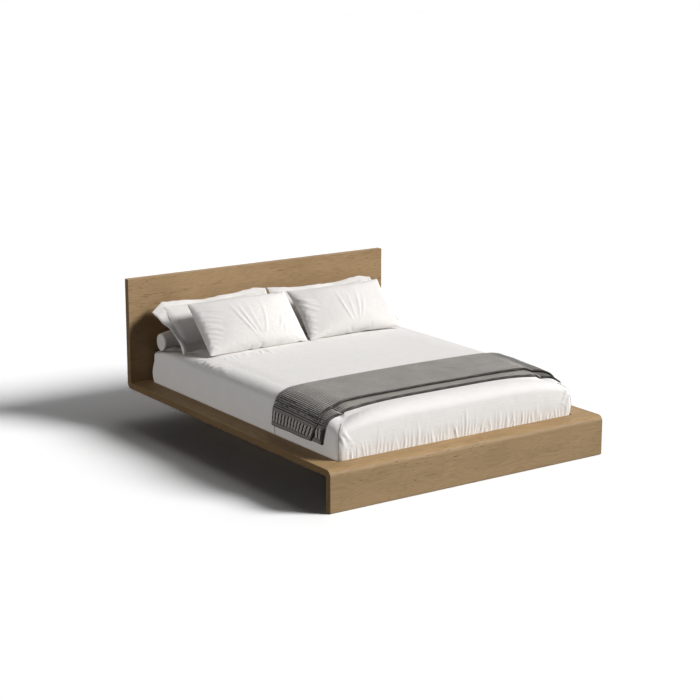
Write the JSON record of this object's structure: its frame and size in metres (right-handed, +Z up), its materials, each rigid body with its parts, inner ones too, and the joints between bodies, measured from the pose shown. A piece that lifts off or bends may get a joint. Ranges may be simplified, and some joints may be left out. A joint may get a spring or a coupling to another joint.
{
  "type": "wooden platform bed",
  "caption": "Low solid-wood platform bed with mitred headboard and foot panel, slatted base, mattress, pillows, bolster and a folded throw.",
  "frame": {"origin": "on the floor, under the centre of the bed's outline", "axes": "+X to the right of someone lying in the bed, +Y from the foot to the headboard, +Z up"},
  "size_m": [1.87, 2.2, 0.87],
  "materials": {
    "oiled_oak": "planed and oiled, matt",
    "planed_pine": "planed, bare",
    "beech": "planed, bare",
    "zinc_plated_steel": "zinc plated",
    "black_nylon": "moulded, matt",
    "felt": "pressed felt",
    "mattress_ticking": "woven ticking",
    "white_cotton": "washed plain weave",
    "grey_knit": "zigzag weave with a ribbed band and a braided hem"
  },
  "bodies": {
    "bed_frame": {"foot_bearer": "oiled_oak", "foot_deck_board": "oiled_oak", "foot_left_corner_plate": "zinc_plated_steel", "foot_left_deck_tenon": "beech", "foot_left_glide": "black_nylon", "foot_left_leg": "oiled_oak", "foot_mitre_tongue": "beech", "foot_panel": "oiled_oak", "foot_panel_centre_pad": "felt", "foot_panel_left_pad": "felt", "foot_panel_right_pad": "felt", "foot_right_corner_plate": "zinc_plated_steel", "foot_right_deck_tenon": "beech", "foot_right_glide": "black_nylon", "foot_right_leg": "oiled_oak", "foot_slat_cleat": "planed_pine", "head_bearer": "oiled_oak", "head_deck_board": "oiled_oak", "head_left_corner_plate": "zinc_plated_steel", "head_left_deck_tenon": "beech", "head_left_glide": "black_nylon", "head_left_leg": "oiled_oak", "head_mitre_tongue": "beech", "head_right_corner_plate": "zinc_plated_steel", "head_right_deck_tenon": "beech", "head_right_glide": "black_nylon", "head_right_leg": "oiled_oak", "head_slat_cleat": "planed_pine", "headboard_centre_angle": "zinc_plated_steel", "headboard_left_angle": "zinc_plated_steel", "headboard_panel": "oiled_oak", "headboard_right_angle": "zinc_plated_steel", "left_base_rail": "oiled_oak", "left_deck_board": "oiled_oak", "middle_bearer": "oiled_oak", "middle_left_glide": "black_nylon", "middle_left_leg": "oiled_oak", "middle_right_glide": "black_nylon", "middle_right_leg": "oiled_oak", "right_base_rail": "oiled_oak", "right_deck_board": "oiled_oak", "slat_1": "planed_pine", "slat_2": "planed_pine", "slat_3": "planed_pine", "slat_4": "planed_pine", "slat_5": "planed_pine", "slat_6": "planed_pine", "slat_7": "planed_pine", "slat_8": "planed_pine", "slat_9": "planed_pine"},
    "mattress": {"mattress": "mattress_ticking", "fitted_sheet": "white_cotton"},
    "throw": {"throw_blanket": "grey_knit"},
    "bolster": {"bolster": "white_cotton"},
    "rear_left_pillow": {"rear_left_pillow": "white_cotton"},
    "rear_right_pillow": {"rear_right_pillow": "white_cotton"},
    "front_left_pillow": {"front_left_pillow": "white_cotton"},
    "front_right_pillow": {"front_right_pillow": "white_cotton"}
  },
  "joints": [
    {"name": "mattress_lift", "type": "slide", "parent": "bed_frame", "child": "mattress", "axis": [0, 0, 1], "range_m": [0, 0.3]},
    {"name": "throw_lift", "type": "slide", "parent": "mattress", "child": "throw", "axis": [0, 0, 1], "range_m": [0, 0.25]},
    {"name": "bolster_lift", "type": "slide", "parent": "mattress", "child": "bolster", "axis": [0, 0, 1], "range_m": [0, 0.2]},
    {"name": "rear_left_pillow_lift", "type": "slide", "parent": "bolster", "child": "rear_left_pillow", "axis": [0, 0, 1], "range_m": [0, 0.25]},
    {"name": "rear_right_pillow_lift", "type": "slide", "parent": "bolster", "child": "rear_right_pillow", "axis": [0, 0, 1], "range_m": [0, 0.25]},
    {"name": "front_left_pillow_lift", "type": "slide", "parent": "rear_left_pillow", "child": "front_left_pillow", "axis": [0, 0, 1], "range_m": [0, 0.25]},
    {"name": "front_right_pillow_lift", "type": "slide", "parent": "rear_right_pillow", "child": "front_right_pillow", "axis": [0, 0, 1], "range_m": [0, 0.25]}
  ]
}
